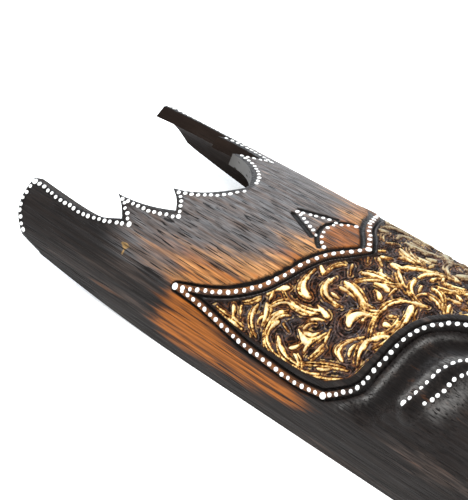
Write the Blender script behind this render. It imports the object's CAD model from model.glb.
"""Looks of the carved wall mask: stained and burnt wood, painted scroll carving and white dots."""

import math

import bpy
import numpy as np
from bpy.props import FloatProperty, FloatVectorProperty, IntProperty, PointerProperty
from mathutils import Matrix, Vector
from mathutils.geometry import delaunay_2d_cdt


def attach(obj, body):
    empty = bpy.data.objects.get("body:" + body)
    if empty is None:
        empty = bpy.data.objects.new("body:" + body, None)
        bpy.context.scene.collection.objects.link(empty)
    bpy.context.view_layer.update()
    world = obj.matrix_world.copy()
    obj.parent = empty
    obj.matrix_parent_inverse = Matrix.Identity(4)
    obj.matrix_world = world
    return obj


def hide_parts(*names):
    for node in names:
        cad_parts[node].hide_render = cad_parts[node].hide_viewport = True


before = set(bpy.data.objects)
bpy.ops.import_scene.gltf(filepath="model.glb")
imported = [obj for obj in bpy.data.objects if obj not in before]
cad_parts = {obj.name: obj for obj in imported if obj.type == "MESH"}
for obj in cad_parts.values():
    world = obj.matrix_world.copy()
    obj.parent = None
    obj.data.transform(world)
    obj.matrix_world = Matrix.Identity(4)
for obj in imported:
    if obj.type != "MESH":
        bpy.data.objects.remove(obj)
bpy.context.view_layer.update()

bl_info = {
    "name": "Carved wall mask",
    "version": (1, 0, 0),
    "blender": (4, 5, 0),
    "location": "View3D > Sidebar > Wall mask",
    "description": "Dresses the carved wall mask in stained wood, painted scrolls and white dots",
    "category": "Add Mesh",
}

BODY = "root"
NODE = "mask"
MM = 0.001

# The log, as the frame has it
ARCH_POWER = 2.1
BEND_Y = 0.085
FLAT_RIM_Y = 0.100           # the rim lies flat up to here and lifts beyond it
JAW_Y = -0.105
FACE_CREST = 0.078
FACE_CREST_Y = -0.100
CHIN_CURVE_Y = -0.160
HOLLOW_CHIN_WALL = 0.022
WALL_CHANGE = (0.045, -0.045)

# Crown outline, each corner as (length along the arch from the crest, Y)
CROWN_VALLEY = (0.0020, 0.1280)
FIRST_POINT = (0.0272, 0.1634)
FIRST_VALLEY = (0.0402, 0.1498)
SECOND_POINT = (0.0467, 0.1914)
SECOND_VALLEY = (0.0601, 0.1772)
PRONG_BULGE = (0.0660, 0.2000)
PRONG_TIP = (0.0604, 0.2488)
PRONG_END = (0.0975, 0.2372)
PRONG_HEEL = (0.1035, 0.2220)

# Forehead panel, same coordinates
LEAF_TIP = (0.0812, 0.1185)
UPPER_BORDER = ((0.0745, 0.0975), (0.0670, 0.0820), (0.0560, 0.0680), (0.0440, 0.0600), (0.0310, 0.0545),
                (0.0190, 0.0480), (0.0095, 0.0395))
CUSP = (0.0, 0.0325)
OUTER_BORDER = ((0.0835, 0.0990), (0.0880, 0.0770), (0.0915, 0.0570), (0.0940, 0.0340), (0.0950, 0.0150))
PANEL_CORNER = (0.0932, -0.0022)
LOWER_BORDER = ((0.0875, -0.0110), (0.0810, -0.0190), (0.0735, -0.0232), (0.0605, -0.0262), (0.0430, -0.0292),
                (0.0300, -0.0340), (0.0200, -0.0425), (0.0130, -0.0520), (0.0070, -0.0630))
PANEL_FOOT = (0.0, -0.0760)

# Leaves of the foliage in millimetres: tail and head across and along, bow to the left, half the head's width
LEAVES = (
    (83.5, 69, 82.2, 77, 0, 1.1), (82.6, 80, 81.4, 89.5, 0, 0.9), (80, 74.8, 73.8, 78.2, 0.4, 1.2),
    (79.5, 60, 66.5, 64, -1.6, 1.1), (71.5, 55.3, 63.2, 59.2, 0.6, 1.7), (54, 60, 61, 58.6, 0, 0.8),
    (74.5, 58.2, 71, 57, -0.5, 0.8), (54.5, 60, 48.7, 53, -0.5, 2.1), (77.5, 50.5, 60.5, 45, -2.6, 0.9),
    (76, 48.3, 68.8, 46.3, -0.4, 1.3), (71, 49.3, 62.5, 41.5, -1.6, 0.8), (62, 54.5, 57.3, 39, -3, 0.9),
    (54.5, 47.5, 53.5, 27, 2, 1), (53.8, 38, 50.8, 25.5, 0.6, 0.9), (50, 27.5, 52.2, 20.6, 0, 2.1),
    (39, 47.5, 47.4, 38, 2.5, 2.4), (85, 27.5, 76.5, 41.5, -1.8, 1.4), (86.3, 38, 79.5, 49, -1.2, 0.8),
    (86, 20.5, 80.8, 27, 0.9, 0.9), (75.2, 27, 79, 31.3, -0.4, 1.1), (68.5, 29, 71.6, 22.8, 0, 2.6),
    (75, 22, 69, 21.2, 0, 1.5), (64, 20.3, 66.8, 28, -1, 1.5), (60.3, 26.8, 65, 29, 0.6, 1),
    (55.5, 23, 58.4, 28, 0.4, 1.1), (70.3, 39, 68.7, 43, 0, 0.6), (42.3, 26, 32, 35.8, -2.4, 1.7),
    (32.5, 34.5, 29.3, 33.6, 0, 0.9), (38.8, 24, 38.5, 28.5, 0, 0.8), (33.4, 17.5, 32.8, 26.5, 0.4, 1.1),
    (34.5, 8, 28.3, 26.5, 1.4, 1.9), (27, 46, 30.3, 41.3, 0, 1.6), (45, 45.5, 36, 47.6, -0.8, 0.6),
    (75.5, 15.6, 67.5, 13.1, 0.3, 1.1), (60, 13.8, 66, 12.9, 0, 0.6), (68, 19, 60.5, 15.2, 0, 0.6),
    (87, 18, 84, 7, 0.5, 0.7), (78.5, 2.5, 81.2, 9, -0.4, 1.1), (59.8, 0.5, 69.9, -3.5, 3.6, 1.4),
    (58.5, -4.8, 65.5, -5, 1, 1.1), (63.5, -11, 52.5, -9.8, -0.6, 2.1), (44.5, -19.5, 51, -11.5, 0.5, 1.8),
    (50, -18.5, 37, -21.7, 0.8, 1), (26, -20, 36, -22, 0, 0.8), (40.5, 3, 50, 6, 2.6, 3.3),
    (39.8, -0.6, 44.2, 0.8, 0, 0.9), (36.6, 4, 33.2, -4.4, 0.9, 0.9), (33, -5, 18.6, -14.5, -2.6, 1.1),
    (29, -21, 21, -17.6, 0, 2.9), (16.5, -22, 18.5, -16, 0, 1.5), (38.8, -15.2, 39, -12, 0, 1.9),
    (32, -13.5, 33, -11, 0, 0.7), (43.5, -15.5, 32, -16.7, 1.3, 0.8), (47.5, -8.5, 37.5, -5.1, -0.3, 0.5),
    (23.8, 5.2, 26.6, 1.8, -0.3, 1.8), (18.3, 8.3, 19.5, 1.3, -0.5, 2), (20.5, -1.2, 15.2, -1, 0, 0.9),
    (34, 4.5, 30.8, 12.3, -0.8, 1), (21.3, 18.2, 15.2, 8.5, -0.6, 0.8), (12, 1, 15.5, 9, -0.6, 0.7),
    (13.6, 9, 17.2, 22.3, 0.6, 1.7), (11.2, 8, 11.2, 15.5, 0, 1.1), (10.8, 13.5, 8, 16.3, 0, 0.8),
    (20, 29, 15.2, 32, 0, 0.8), (25, 39.6, 17.6, 35, -0.8, 0.6), (10.5, -3.7, 1.8, 8.5, -0.5, 1.2),
    (1.5, 8, 0.3, 15, 0, 1.4), (13.4, -12.8, 1.5, -4.3, -1.9, 1.4), (8, -17.6, 12.4, -14.6, 0.5, 0.9),
    (8.5, -12.6, 3.8, -11.2, -0.3, 1), (6.5, -28.5, 1.6, -17, 1.3, 1), (8.5, -21, 12.3, -31, -0.8, 1),
    (6, 28, 1, 31.5, 0, 1), (3.5, 20, 0.8, 24.3, 0, 1), (13, -38, 6.5, -34, -0.8, 1.2),
    (87.5, 13, 79, -9.5, 0.8, 0.5), (81, 12.5, 73.5, -9.5, -0.6, 0.5), (73, -14.5, 55, -19.3, 0.5, 0.5),
    (84, -8, 75.5, -16, 0.3, 0.4), (76.5, 71, 71.5, 73, -0.3, 0.6), (67, 70.5, 60.5, 65.5, 0.5, 0.6),
    (3, -31, 1.2, -37, 0, 1.1), (8.5, -44, 4.2, -47.5, 0.4, 1.1), (2, -46, 0.8, -58, -0.5, 1),
)
LEAF_SHARE = 0.72            # the gouge leaves this much of a leaf's drawn width
LEAF_TAIL = 0.16             # width of a leaf's tail, as a share of its head's
TAIL_LENGTH = 0.45           # how far a leaf's thin end runs on past its tail, as a share of its length
LEAF_WIDENS = (0.05, 0.85)   # where along a leaf its width grows, as shares of its length
LEAF_ROUNDS = (0.86, 1.08)   # where its head is rounded off
LEAF_ROUNDING = 0.70
LEAF_STEPS = 12
LEAF_REACH = 0.014           # points farther from a leaf than this aren't measured to it

# The thin companion of a long leaf, in millimetres
COMPANION_LEAST = 7.5        # leaves longer than this have one
COMPANION_GAP = 1.35
COMPANION_SPREAD = 0.8       # and this share of the leaf's half width
COMPANION_HALF = 0.42
COMPANION_BACK = 0.12        # its head stays back by this share of the leaf's length

# Scroll eyes between the leaves in millimetres: centre across and along, half the width, half the height
SCROLL_EYES = (
    (78.5, 66.0, 3.8, 4.6), (62.2, 23.8, 7.0, 6.8), (36.8, 25.0, 4.8, 8.0), (49.5, 5.5, 9.8, 9.2),
    (24.7, 7.0, 8.8, 10.5), (63.8, -4.5, 7.4, 6.8), (36.8, -12.8, 9.8, 5.6), (4.5, -40.0, 4.5, 6.0),
)

# Small ornament over the cusp, and the dotted lines of the brow
ARROW_APEX = (0.0, 0.0880)
ARROW_FOOT = (0.0090, 0.0655)
ARC_TOP = (0.0, 0.0645)
ARC_END = (0.0150, 0.0540)
ARC_BOW = 0.0022
LEG_GROOVE_SHIFT = (0.0028, 0.0010)
ARC_GROOVE_SHIFT = (0.0012, 0.0028)
BROW_HOLLOW = ((0.0860, -0.0310), (0.0720, -0.0385), (0.0560, -0.0415), (0.0420, -0.0445), (0.0310, -0.0500),
               (0.0225, -0.0600))
EYEBROW = ((0.0760, -0.0560), (0.0600, -0.0615), (0.0460, -0.0640), (0.0340, -0.0715))
CROWN_DOTS = ((0.0022, 0.1232), (0.0282, 0.1572), (0.0434, 0.1442), (0.0488, 0.1856), (0.0616, 0.1704),
              (0.0682, 0.2000), (0.0628, 0.2464), (0.0935, 0.2366))
BROW_DOTS = ((0.0720, -0.0510), (0.0580, -0.0560), (0.0460, -0.0585), (0.0350, -0.0630), (0.0270, -0.0700))
LID_DOTS = ((0.0652, -0.0625), (0.0542, -0.0670), (0.0422, -0.0690), (0.0322, -0.0750))

# Grooves and ridges along a line, as (half the width, depth or height)
ORNAMENT_GROOVE = (0.0019, 0.0013)
BROW_GROOVE = (0.0105, 0.0050)
EYEBROW_RIDGE = (0.0070, 0.0026)
CREASE_GROOVE = (0.0040, 0.0016)
EDGE_ROUNDING = (0.0012, 0.0007)

# Relief of the border and the carved field
BORDER_FALL = (0.0002, -0.0009)      # the border falls off between these distances past its edge
GROOVE_ROUND = 0.62                  # half the width of a groove's round bottom, as a share of the groove
GROOVE_START = 0.0006                # how far the groove cuts in under the border's edge
FLARE_S = (0.078, 0.050)             # the groove over the panel widens between these lengths
MARGIN_Y = (0.0, 0.085)              # the plain strip narrows towards the tip between these
FIELD_EDGE = (-0.0003, 0.0009)
LEAF_MARGIN = 0.0004
LEAF_RISE = 0.0016
LEAF_FLANK = (-0.0007, 0.0002)
LEAF_CROWNING = 0.0004
LEAF_TOP = (0.0, 0.0016)
LEAF_FLOOR = -0.02                   # depth that stands for no leaf near
FAR_OFF = 0.05                       # distance that stands for nothing near
EYE_RINGS = ((0.0011, 0.0, 0.0006), (0.0008, -0.0017, 0.0005))   # height, place and half width
GOUGE_RISE = 0.0007
GOUGE_PITCH = 0.0019
GOUGE_SHIFT = 0.0006
GOUGE_REACH = (-0.0060, -0.0010)

# Burnished lip, lids and sooted crease of the brow
LIP_GAP = 0.0070                     # distance of the lip from the panel's edge
LIP_SPREAD = 0.0010
LIP_Y = (-0.006, -0.022)
LIP_S = (0.014, 0.034)
LIP_RISE = 0.0006
CREASE_SHIFT = -0.0062               # from the brow's dots
CREASE_SOOT = 0.0034
HOLLOW_SOOT = 0.0062

# Where the finish changes: a mask runs from 0 to 1 between the two values of a span
GROOVE_STAIN = ((-0.0006, 0.0), (-0.0006, 0.0003))
BAND_STAIN = (0.0004, -0.0002)
BAND_Y = (-0.022, 0.004)
FACE_RELIEF = (0.0010, 0.0110)
SHADE_S = (0.003, 0.030)             # the far half of the panel dulls between these
SHADE_LOSS = 0.75
BESIDE_S = (0.105, 0.011)            # centre and spread of the orange wood beside the panel
BESIDE_Y = ((-0.018, 0.034), (0.145, 0.095))
ABOVE_REACH = 0.024
ABOVE_Y = ((0.020, 0.034), (0.140, 0.100))
ABOVE_SHARE = 1.05
NEST_SHARE = 0.70
WORN_Y = ((0.020, 0.060), (0.195, 0.150))
WORN_S = (0.095, 0.060)
SAWN_Y = (0.100, 0.122)
SAWN_S = (0.032, 0.024)

# Soft patches of the finish, as (centre, spread, strength)
NEST = ((0.0, 0.050), (0.013, 0.014), 1.0)
BROWN_PATCH = ((0.065, 0.134), (0.016, 0.030), 0.56)
CHIPS = (((0.0735, 0.1640), (0.0016, 0.0042), 1.0), ((0.0777, 0.1630), (0.0024, 0.0018), 0.9))

# Masks that the two halves don't share: the values instead on the far and the near half
ONE_SIDED = {"chip": (0.0, None), "rubbed": (None, 1.0)}
DISTANCE_MASKS = ("edge", "ornament", "eye")

# The face, laid out in thirds from brow to nose to chin, in front-view coordinates
BROW_Y = -0.060
FACE_THIRD = 0.092
EYE_X = 0.034
EYE_Y = BROW_Y - 0.36 * FACE_THIRD
NOSE_Y = BROW_Y - 0.98 * FACE_THIRD
MOUTH_Y = NOSE_Y - 0.34 * FACE_THIRD
CHIN_BOSS_Y = NOSE_Y - 0.76 * FACE_THIRD
NOSE_BRIDGE_HALF = 0.0080
NOSE_HALF = 0.0140
NOSE_RISE = 0.0180
NOSE_BRIDGE_SHARE = 0.26     # height of the nose at its bridge, as a share of its rise
NOSE_ROOT_Y = BROW_Y + 0.004
SLIT_HALF = 0.018
MOUTH_HALF = 0.026

# Soft forms of the face, as (centre, spread, height)
NOSE_WING = ((0.95 * NOSE_HALF, NOSE_Y + 0.006), (0.0066, 0.0076), 0.0072)
EYE_SOCKET = ((EYE_X, EYE_Y + 0.002), (0.0250, 0.0150), -0.0085)
EYE_LID = ((EYE_X, EYE_Y), (0.0165, 0.0088), 0.0090)
UPPER_LIP = ((0.006, MOUTH_Y + 0.0050), (0.0170, 0.0042), 0.0052)
LOWER_LIP = ((0.0, MOUTH_Y - 0.0062), (0.0190, 0.0056), 0.0064)
CHEEK = ((0.043, NOSE_Y + 0.012), (0.022, 0.026), 0.0045)
CHIN_BOSS = ((0.0, CHIN_BOSS_Y), (0.021, 0.015), 0.0065)

# Spacing of points on the mask's edges
CREST_STEP = 0.0008
CROWN_STEP = 0.0009
RIM_STEP = 0.0018
EDGE_STEP = 0.002
CHIN_ROUND = 0.003
CHIN_POINTS = 6
CLEARANCE = 0.45 * MM        # points inside a sheet keep this far from its edges

# Paint dots
HAND_SHAKE = 0.00022
DOT_SPREAD = (0.88, 1.12)
DOME_SIDES = 12
DOME_LEVELS = ((1.0, -0.5), (0.96, 0.35), (0.72, 0.80), (0.38, 0.98))   # share of the radius, of the rise
DOME_WOBBLE = 0.06

# Settings of the shared wood grain
FINE_GRAIN = {"Coarse": 120.0, "Fine": 1150.0, "Patch length": 0.075, "Thread length": 0.020, "Pores": 1.0}
BROAD_GRAIN = {"Coarse": 360.0, "Fine": 620.0, "Patch length": 0.040, "Thread length": 0.030, "Pores": 0.55}
CARVED_GRAIN = {"Coarse": 260.0, "Fine": 700.0, "Patch length": 0.6, "Thread length": 0.25, "Pores": 0.3}
HOLLOW_GRAIN = {"Coarse": 90.0, "Fine": 600.0, "Patch length": 0.15, "Thread length": 0.06, "Pores": 0.6}

# Lamps, as (name, place, size, watts, colour, shown in reflections)
LAMPS = (
    ("window", (1.0, 1.75, 1.1), 1.9, 48.0, (0.86, 0.93, 1.0), True),
    ("overhead", (-0.5, 0.1, 2.2), 1.3, 62.0, (1.0, 0.98, 0.95), False),
    ("front", (-1.6, -1.2, 1.0), 1.2, 18.0, (1.0, 0.97, 0.93), False),
)


def length_field(name, description, default):
    return FloatProperty(name=name, description=description, default=default, unit="LENGTH")


def angle_field(name, description, degrees):
    return FloatProperty(name=name, description=description, default=math.radians(degrees), unit="ROTATION")


def colour_field(name, description, default):
    return FloatVectorProperty(name=name, description=description, subtype="COLOR", size=3, default=default,
                               min=0.0, max=1.0)


class LogSizes(bpy.types.PropertyGroup):
    """Sizes of the half log and its walls."""

    crown_y: length_field("Crown", "Y of the prong tips", 0.250)
    chin_y: length_field("Chin", "Y of the chin", -0.2494)
    half_width: length_field("Half width", "Crest to side", 0.080)
    crest_height: length_field("Crest", "Crest over the rim at Y = 0", 0.0826)
    crest_slope: FloatProperty(name="Crest slope", description="Rise of the crest to the crown",
                               default=-0.0594)
    rim_lift: FloatProperty(name="Rim lift", description="Lift of the rim at the crown", default=0.50)
    crest_droop: FloatProperty(name="Crest droop", description="Droop of the crest at the crown",
                               default=0.50)
    crown_wall: length_field("Crown wall", "Wood left behind the crown", 0.008)
    face_wall: length_field("Face wall", "Wood left behind the face", 0.021)
    rim_wall: length_field("Rim", "Width of the flat rim", 0.010)


class CarvingSizes(bpy.types.PropertyGroup):
    """Sizes of the carved relief and of the mesh that carries it."""

    border_half: length_field("Border", "Half the width of the raised border", 2.1 * MM)
    border_rise: length_field("Border rise", "Height of the border", 0.9 * MM)
    groove_width: length_field("Groove", "Width of the grooves along the border", 1.7 * MM)
    groove_depth: length_field("Groove depth", "Depth of those grooves", 1.6 * MM)
    groove_flare: FloatProperty(name="Groove flare", description="Extra width of the groove over the panel",
                                default=1.1)
    margin: length_field("Margin", "Plain strip inside the upper border", 5.0 * MM)
    outer_margin: length_field("Outer margin", "The same on the other sides, at the corner", 7.8 * MM)
    tip_margin: length_field("Tip margin", "The same on the outer side, near the tip", 4.3 * MM)
    ground_depth: length_field("Ground", "Depth of the ground of the foliage", 1.6 * MM)
    fine_step: length_field("Fine step", "Spacing of points on the panel", 0.66 * MM)
    face_step: length_field("Face step", "Spacing of points on the face", 1.5 * MM)
    plain_step: length_field("Plain step", "Spacing of points on plain wood", 2.8 * MM)
    hollow_step: length_field("Hollow step", "Spacing of points in the hollow", 4.0 * MM)


class DotSizes(bpy.types.PropertyGroup):
    """Sizes and colour of the white paint dots."""

    diameter: length_field("Dot", "Diameter of a dot", 2.8 * MM)
    pitch: length_field("Pitch", "Spacing of the dots", 4.7 * MM)
    big: length_field("Big dot", "Diameter of a dot at a corner", 4.2 * MM)
    rise: length_field("Rise", "Height of the paint", 0.45 * MM)
    seed: IntProperty(name="Seed", description="Seed of the hand's unevenness", default=11)
    colour: colour_field("Paint", "Colour of the paint", (0.88, 0.89, 0.88))


class WoodColours(bpy.types.PropertyGroup):
    """Colours of the stained, burnt and painted wood."""

    dark: colour_field("Dark stain", "Near-black stain of prongs and face", (0.0085, 0.0055, 0.0042))
    brown: colour_field("Brown stain", "Worn grey-brown stain of the middle", (0.080, 0.056, 0.045))
    glow: colour_field("Burnt orange", "Orange wood where the stain was rubbed off", (0.27, 0.082, 0.010))
    amber: colour_field("Amber", "Lighter streaks in the orange wood", (0.39, 0.190, 0.072))
    band: colour_field("Band", "Brown top of the raised border", (0.15, 0.056, 0.017))
    chip: colour_field("Chip", "Tan wood where the stain has chipped off", (0.27, 0.165, 0.060))
    rub: colour_field("Rubbed ridges", "Brown showing through on the face's ridges", (0.034, 0.021, 0.014))
    char: colour_field("Char", "Burnt black of grooves, pores and cut edges", (0.0042, 0.0030, 0.0026))
    cream: colour_field("Cream", "Pale rubbed tops of the scrolls", (0.78, 0.70, 0.42))
    flank: colour_field("Flank", "Burnt flanks of the scrolls", (0.20, 0.078, 0.022))
    ground: colour_field("Ground", "Ground between the scrolls", (0.0050, 0.0024, 0.0014))
    haze: colour_field("Haze", "Grey wear that dulls the stain in streaks", (0.104, 0.120, 0.134))
    bare: colour_field("Sawn wood", "Pale grey-brown of the sawn middle of the crown", (0.135, 0.133, 0.130))
    raw: colour_field("Hollow", "Plain brown inside of the hollow", (0.016, 0.0105, 0.008))


class StageSettings(bpy.types.PropertyGroup):
    """Camera, floor and light."""

    azimuth: angle_field("Azimuth", "Side the camera looks from", -51.18)
    elevation: angle_field("Elevation", "Height of the view", 37.85)
    roll: angle_field("Roll", "Tilt of the picture", 6.0)
    distance: length_field("Distance", "Camera to origin", 1.798)
    lens: FloatProperty(name="Lens", description="Focal length", default=216.0, unit="CAMERA")
    aim_right: length_field("Aim right", "Sideways place of the camera", -0.0773)
    aim_up: length_field("Aim up", "Upright place of the camera", 0.0670)
    aim_y: length_field("Aim Y", "Place along the mask", 0.0253)


def smooth_step(value, start, end):
    """0 up to start and 1 from end, eased between them; start may be the larger one."""
    share = np.clip((value - start) / (end - start), 0.0, 1.0)
    return share * share * (3.0 - 2.0 * share)


def smooth_line(points, steps=8):
    """A Catmull-Rom curve through the points."""
    knots = np.array([points[0], *points, points[-1]], dtype=float)
    rows = []
    for first, second, third, fourth in zip(knots, knots[1:], knots[2:], knots[3:]):
        for share in np.arange(steps) / steps:
            rows.append(0.5 * (2 * second + (third - first) * share
                               + (2 * first - 5 * second + 4 * third - fourth) * share ** 2
                               + (3 * second - first - 3 * third + fourth) * share ** 3))
    return np.array([*rows, knots[-1]])


def bowed_line(start, end, bow, steps=8, before=0.0):
    """A shallow arc from start to end; a positive bow lies to the left, and before lengthens its start."""
    start, end = np.array(start), np.array(end)
    side = np.array([-(end - start)[1], (end - start)[0]])
    middle = (start + end) / 2 + 2 * bow * side / np.hypot(*side)
    share = np.linspace(-before, 1.0, steps + 1)[:, None]
    return (1 - share) ** 2 * start + 2 * share * (1 - share) * middle + share ** 2 * end


def evenly(line, step):
    """The line with its points moved to about one step apart, ends kept."""
    along = np.concatenate([[0.0], np.cumsum(np.hypot(*np.diff(line, axis=0).T))])
    count = max(1, round(along[-1] / step))
    at = np.linspace(0.0, along[-1], count + 1)
    return np.stack([np.interp(at, along, line[:, 0]), np.interp(at, along, line[:, 1])], axis=-1)


def distance(s, y, line):
    """Distance of each point from a line of straight pieces."""
    best = np.full(s.shape, np.inf)
    for (s0, y0), (s1, y1) in zip(line, line[1:]):
        ds, dy = s1 - s0, y1 - y0
        share = np.clip(((s - s0) * ds + (y - y0) * dy) / (ds * ds + dy * dy + 1e-18), 0.0, 1.0)
        best = np.minimum(best, np.hypot(s - s0 - share * ds, y - y0 - share * dy))
    return best


def inside(s, y, outline):
    """True for points within the closed outline."""
    result = np.zeros(s.shape, dtype=bool)
    for (s0, y0), (s1, y1) in zip(outline, np.roll(outline, -1, axis=0)):
        if y0 != y1:
            crosses = (y0 > y) != (y1 > y)
            result ^= crosses & (s < (s1 - s0) * (y - y0) / (y1 - y0) + s0)
    return result


def around(value, centre, spread):
    """1 at the centre, fading off within about twice the spread."""
    return np.exp(-((value - centre) / spread) ** 2)


def bump(x, y, centre, spread, height):
    """A soft mound, or a hollow where the height is negative."""
    return height * np.exp(-((x - centre[0]) / spread[0]) ** 2 - ((y - centre[1]) / spread[1]) ** 2)


def ridge(gap, half, height):
    """A rounded ridge, so high at no gap and gone at half its width."""
    return height * np.maximum(1.0 - (gap / half) ** 2, 0.0)


def grid_read(table, row, column):
    """Reads a table between its rows and columns."""
    row = np.clip(row, 0, table.shape[0] - 1.000001)
    column = np.clip(column, 0, table.shape[1] - 1.000001)
    r, c = row.astype(int), column.astype(int)
    fr, fc = row - r, column - c
    return ((1 - fr) * ((1 - fc) * table[r, c] + fc * table[r, c + 1])
            + fr * ((1 - fc) * table[r + 1, c] + fc * table[r + 1, c + 1]))


class Log:
    """The half log as a surface over (length along the arch, Y), and the hollow behind it."""

    ROWS = 900
    STEPS = 260
    FOOT = 0.003

    def __init__(self, sizes):
        self.sizes = sizes
        self.low, self.high = sizes.chin_y + 1e-6, sizes.crown_y + 0.02
        self.ys = np.linspace(self.low, self.high, self.ROWS)
        self.turn = np.linspace(0.0, math.pi / 2, self.STEPS)
        self.outer = self.tables(self.half_width(self.ys), self.crest(self.ys))
        scale = self.hollow_scale(self.ys)
        wall = sizes.crown_wall + (sizes.face_wall - sizes.crown_wall) * smooth_step(self.ys, *WALL_CHANGE)
        crest = (self.crest(np.maximum(self.ys, CHIN_CURVE_Y)) - wall) * scale
        self.inner = self.tables((sizes.half_width - sizes.rim_wall) * scale, crest)
        profile = np.hypot(np.diff(self.ys), np.diff(self.crest(self.ys)))
        self.profile = np.concatenate([[0.0], np.cumsum(profile)])

    def half_width(self, y):
        share = np.clip((JAW_Y - y) / (JAW_Y - self.sizes.chin_y), 0.0, 1.0)
        return self.sizes.half_width * np.sqrt(np.maximum(1.0 - share ** 2.2, 0.0))

    def rim_lift(self, y):
        return self.sizes.rim_lift * np.maximum(y - BEND_Y, 0.0) ** 2

    def crest(self, y):
        sizes = self.sizes
        crown = (sizes.crest_height + sizes.crest_slope * y
                 - sizes.crest_droop * np.maximum(y - BEND_Y, 0.0) ** 2)
        height = crown + (FACE_CREST - crown) * smooth_step(y, -0.030, FACE_CREST_Y)
        share = np.clip((CHIN_CURVE_Y - y) / (CHIN_CURVE_Y - sizes.chin_y), 0.0, 1.0)
        return height * np.sqrt(np.maximum(1.0 - share ** 2.4, 0.0))

    def hollow_scale(self, y):
        share = np.clip((JAW_Y - y) / (JAW_Y - self.sizes.chin_y - HOLLOW_CHIN_WALL), 0.0, 1.0)
        return np.sqrt(np.maximum(1.0 - share ** 2.2, 0.0))

    def rim_height(self, y):
        """Height of the rim, flat on the ground and lifted towards the prongs."""
        return self.rim_lift(y) * smooth_step(y, FLAT_RIM_Y - 0.010, FLAT_RIM_Y + 0.010)

    def tables(self, width, crest):
        base = self.rim_lift(self.ys)[:, None] - self.FOOT
        xs = width[:, None] * np.sin(self.turn)
        zs = base + (crest[:, None] - base) * np.maximum(np.cos(self.turn), 0.0) ** (2.0 / ARCH_POWER)
        along = np.cumsum(np.hypot(np.diff(xs, axis=1), np.diff(zs, axis=1)), axis=1)
        along = np.concatenate([np.zeros((self.ROWS, 1)), along], axis=1)
        even = np.linspace(0.0, 1.0, self.STEPS)
        length = np.maximum(along[:, -1], 1e-9)
        rows = range(self.ROWS)
        x_even = np.array([np.interp(even, along[row] / length[row], xs[row]) for row in rows])
        z_even = np.array([np.interp(even, along[row] / length[row], zs[row]) for row in rows])
        return {"x": xs, "z": zs, "along": along, "length": length, "x_even": x_even, "z_even": z_even}

    def row_of(self, y):
        return (y - self.low) / (self.high - self.low) * (self.ROWS - 1)

    def point(self, s, y):
        """Point of the plain log, for lengths that may be either side of the crest."""
        row = self.row_of(y)
        length = np.interp(y, self.ys, self.outer["length"])
        column = np.abs(s) / length * (self.STEPS - 1)
        x = np.sign(s) * grid_read(self.outer["x_even"], row, column)
        return np.stack([x, y, grid_read(self.outer["z_even"], row, column)], axis=-1)

    def normal(self, s, y):
        step = 0.0008
        across = self.point(s + step, y) - self.point(s - step, y)
        along = self.point(s, y + step) - self.point(s, y - step)
        facing = np.cross(across, along)
        return facing / np.maximum(np.linalg.norm(facing, axis=-1, keepdims=True), 1e-12)

    def rim_s(self, y):
        """Length along the arch at which it meets the rim."""
        rows = np.clip(np.round(self.row_of(y)).astype(int), 0, self.ROWS - 1)
        heights = self.rim_height(y)
        return np.array([np.interp(-height, -self.outer["z"][row], self.outer["along"][row])
                         for row, height in zip(rows, heights)])

    def hollow_point(self, outer_point):
        """Point of the hollow behind a point of the log, along the line to the log's axis."""
        x, y, z = outer_point[:, 0], outer_point[:, 1], outer_point[:, 2]
        chin = self.sizes.chin_y
        squeeze = (chin + HOLLOW_CHIN_WALL - JAW_Y) / (chin - JAW_Y)
        y_in = np.where(y < JAW_Y, JAW_Y + (y - JAW_Y) * squeeze, y)
        rows = np.clip(np.round(self.row_of(y_in)).astype(int), 0, self.ROWS - 1)
        angle = np.arctan2(z, np.abs(x))
        xs, zs = self.inner["x"], self.inner["z"]
        radius = np.empty_like(angle)
        for index, row in enumerate(rows):
            turned = np.arctan2(zs[row], xs[row])
            radius[index] = np.interp(-angle[index], -turned, np.hypot(xs[row], zs[row]))
        return np.stack([np.sign(x) * radius * np.cos(angle), y_in, radius * np.sin(angle)], axis=-1)

    def unrolled(self, y):
        """Y as a length along the crest, so that the chin's steep end is measured truly."""
        return np.interp(y, self.ys, self.profile)

    def rolled(self, v):
        return np.interp(v, self.profile, self.ys)


def panel_lines():
    upper = smooth_line((LEAF_TIP, *UPPER_BORDER, CUSP))
    outer = smooth_line((LEAF_TIP, *OUTER_BORDER, PANEL_CORNER))
    lower = smooth_line((PANEL_CORNER, *LOWER_BORDER, PANEL_FOOT))
    return upper, outer, lower


def panel_outline():
    upper, outer, lower = panel_lines()
    return np.concatenate([outer, lower[1:], upper[::-1]])


def crown_pieces(corners):
    """The crown's edge, corner by corner from the crest to the prong's end."""
    valley, first, first_valley, second, second_valley, bulge, tip, end = corners
    return (bowed_line(valley, first, -0.0052), bowed_line(first, first_valley, -0.0012),
            bowed_line(first_valley, second, -0.0022), bowed_line(second, second_valley, -0.0010),
            smooth_line((second_valley, bulge, tip), 8), bowed_line(tip, end, 0.004))


def crown_line(step):
    """The crown's edge from the crest to the rim, with even points and sharp corners."""
    corners = (CROWN_VALLEY, FIRST_POINT, FIRST_VALLEY, SECOND_POINT, SECOND_VALLEY, PRONG_BULGE, PRONG_TIP,
               PRONG_END)
    middle = [evenly(piece, step)[1:] for piece in crown_pieces(corners)]
    start = evenly(np.array([(0.0, CROWN_VALLEY[1]), CROWN_VALLEY]), step)
    return np.concatenate([start, *middle, evenly(np.array([PRONG_END, PRONG_HEEL]), step)[1:]])


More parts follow.
